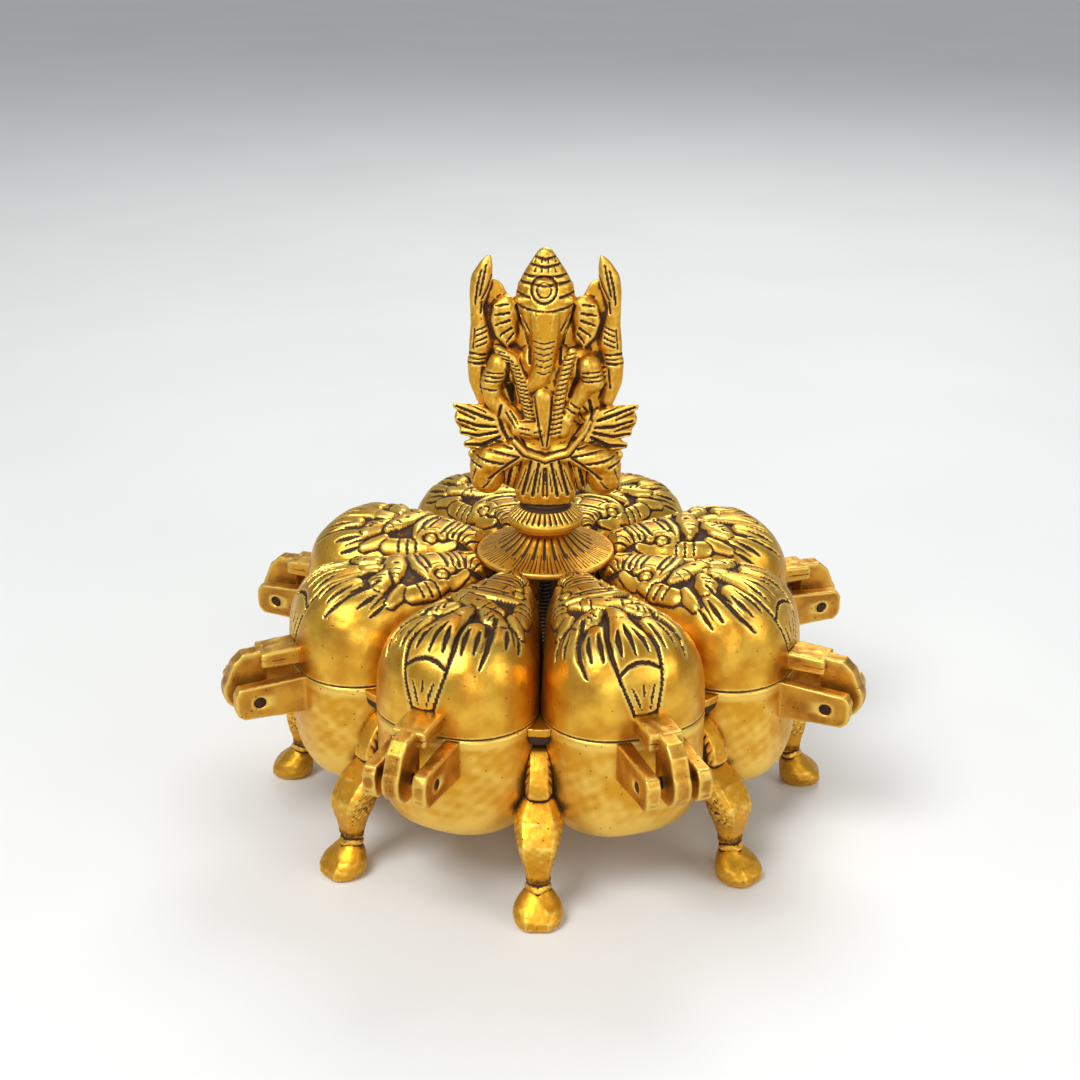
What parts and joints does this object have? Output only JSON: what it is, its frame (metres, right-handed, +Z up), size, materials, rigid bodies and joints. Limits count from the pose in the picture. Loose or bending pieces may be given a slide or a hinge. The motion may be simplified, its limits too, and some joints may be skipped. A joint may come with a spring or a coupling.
{
  "type": "petal spice box",
  "caption": "Flower-shaped cast brass spice box: hinged domed lids over petal bowls around a screw-down finial of a seated elephant-headed figure, on animal-style legs.",
  "frame": {"origin": "on the floor under the centre of the box", "axes": "+Z up, -Y towards the front that the figure faces"},
  "size_m": [0.2278, 0.2278, 0.2056],
  "materials": {
    "antiqued_brass": "cast, lacquered, dark wax in the recesses",
    "polished_brass": "cast, polished on the high points, dark wax in the recesses",
    "dark_steel": "dark oxidised mild steel"
  },
  "bodies": {
    "base": {"bowl_1": "antiqued_brass", "bowl_2": "antiqued_brass", "bowl_3": "antiqued_brass", "bowl_4": "antiqued_brass", "bowl_5": "antiqued_brass", "bowl_6": "antiqued_brass", "bowl_7": "antiqued_brass", "bowl_8": "antiqued_brass", "hinge_pin_1": "dark_steel", "hinge_pin_2": "dark_steel", "hinge_pin_3": "dark_steel", "hinge_pin_4": "dark_steel", "hinge_pin_5": "dark_steel", "hinge_pin_6": "dark_steel", "hinge_pin_7": "dark_steel", "hinge_pin_8": "dark_steel", "leg_1": "antiqued_brass", "leg_2": "antiqued_brass", "leg_3": "antiqued_brass", "leg_4": "antiqued_brass", "leg_5": "antiqued_brass", "leg_6": "antiqued_brass", "leg_7": "antiqued_brass", "leg_8": "antiqued_brass", "hub": "antiqued_brass", "centre_stud": "dark_steel", "stud_washer": "dark_steel", "stud_nut": "dark_steel"},
    "lid_1_body": {"lid_1": "polished_brass"},
    "lid_2_body": {"lid_2": "polished_brass"},
    "lid_3_body": {"lid_3": "polished_brass"},
    "lid_4_body": {"lid_4": "polished_brass"},
    "lid_5_body": {"lid_5": "polished_brass"},
    "lid_6_body": {"lid_6": "polished_brass"},
    "lid_7_body": {"lid_7": "polished_brass"},
    "lid_8_body": {"lid_8": "polished_brass"},
    "disc": {"clamp_disc": "antiqued_brass"},
    "finial": {"pedestal": "antiqued_brass", "seated_figure": "antiqued_brass"}
  },
  "joints": [
    {"name": "lid_1_hinge", "type": "hinge", "parent": "base", "child": "lid_1_body", "pos_m": [0.0421, -0.10163, 0.0572], "axis": [0.9239, 0.3827, 0], "range_deg": [0, 105]},
    {"name": "lid_2_hinge", "type": "hinge", "parent": "base", "child": "lid_2_body", "pos_m": [0.10163, -0.0421, 0.0572], "axis": [0.3827, 0.9239, 0], "range_deg": [0, 105]},
    {"name": "lid_3_hinge", "type": "hinge", "parent": "base", "child": "lid_3_body", "pos_m": [0.10163, 0.0421, 0.0572], "axis": [-0.3827, 0.9239, 0], "range_deg": [0, 105]},
    {"name": "lid_4_hinge", "type": "hinge", "parent": "base", "child": "lid_4_body", "pos_m": [0.0421, 0.10163, 0.0572], "axis": [-0.9239, 0.3827, 0], "range_deg": [0, 105]},
    {"name": "lid_5_hinge", "type": "hinge", "parent": "base", "child": "lid_5_body", "pos_m": [-0.0421, 0.10163, 0.0572], "axis": [-0.9239, -0.3827, 0], "range_deg": [0, 105]},
    {"name": "lid_6_hinge", "type": "hinge", "parent": "base", "child": "lid_6_body", "pos_m": [-0.10163, 0.0421, 0.0572], "axis": [-0.3827, -0.9239, 0], "range_deg": [0, 105]},
    {"name": "lid_7_hinge", "type": "hinge", "parent": "base", "child": "lid_7_body", "pos_m": [-0.10163, -0.0421, 0.0572], "axis": [0.3827, -0.9239, 0], "range_deg": [0, 105]},
    {"name": "lid_8_hinge", "type": "hinge", "parent": "base", "child": "lid_8_body", "pos_m": [-0.0421, -0.10163, 0.0572], "axis": [0.9239, -0.3827, 0], "range_deg": [0, 105]},
    {"name": "finial_lift", "type": "slide", "parent": "base", "child": "disc", "axis": [0, 0, 1], "range_m": [0, 0.009]},
    {"name": "finial_turn", "type": "hinge", "parent": "disc", "child": "finial", "pos_m": [0, 0, 0.103], "axis": [0, 0, 1], "range_deg": [0, 2160]}
  ],
  "couplings": [
    {"joint": "finial_lift", "follows": "finial_turn", "m_per_rad": 0.00023873}
  ]
}
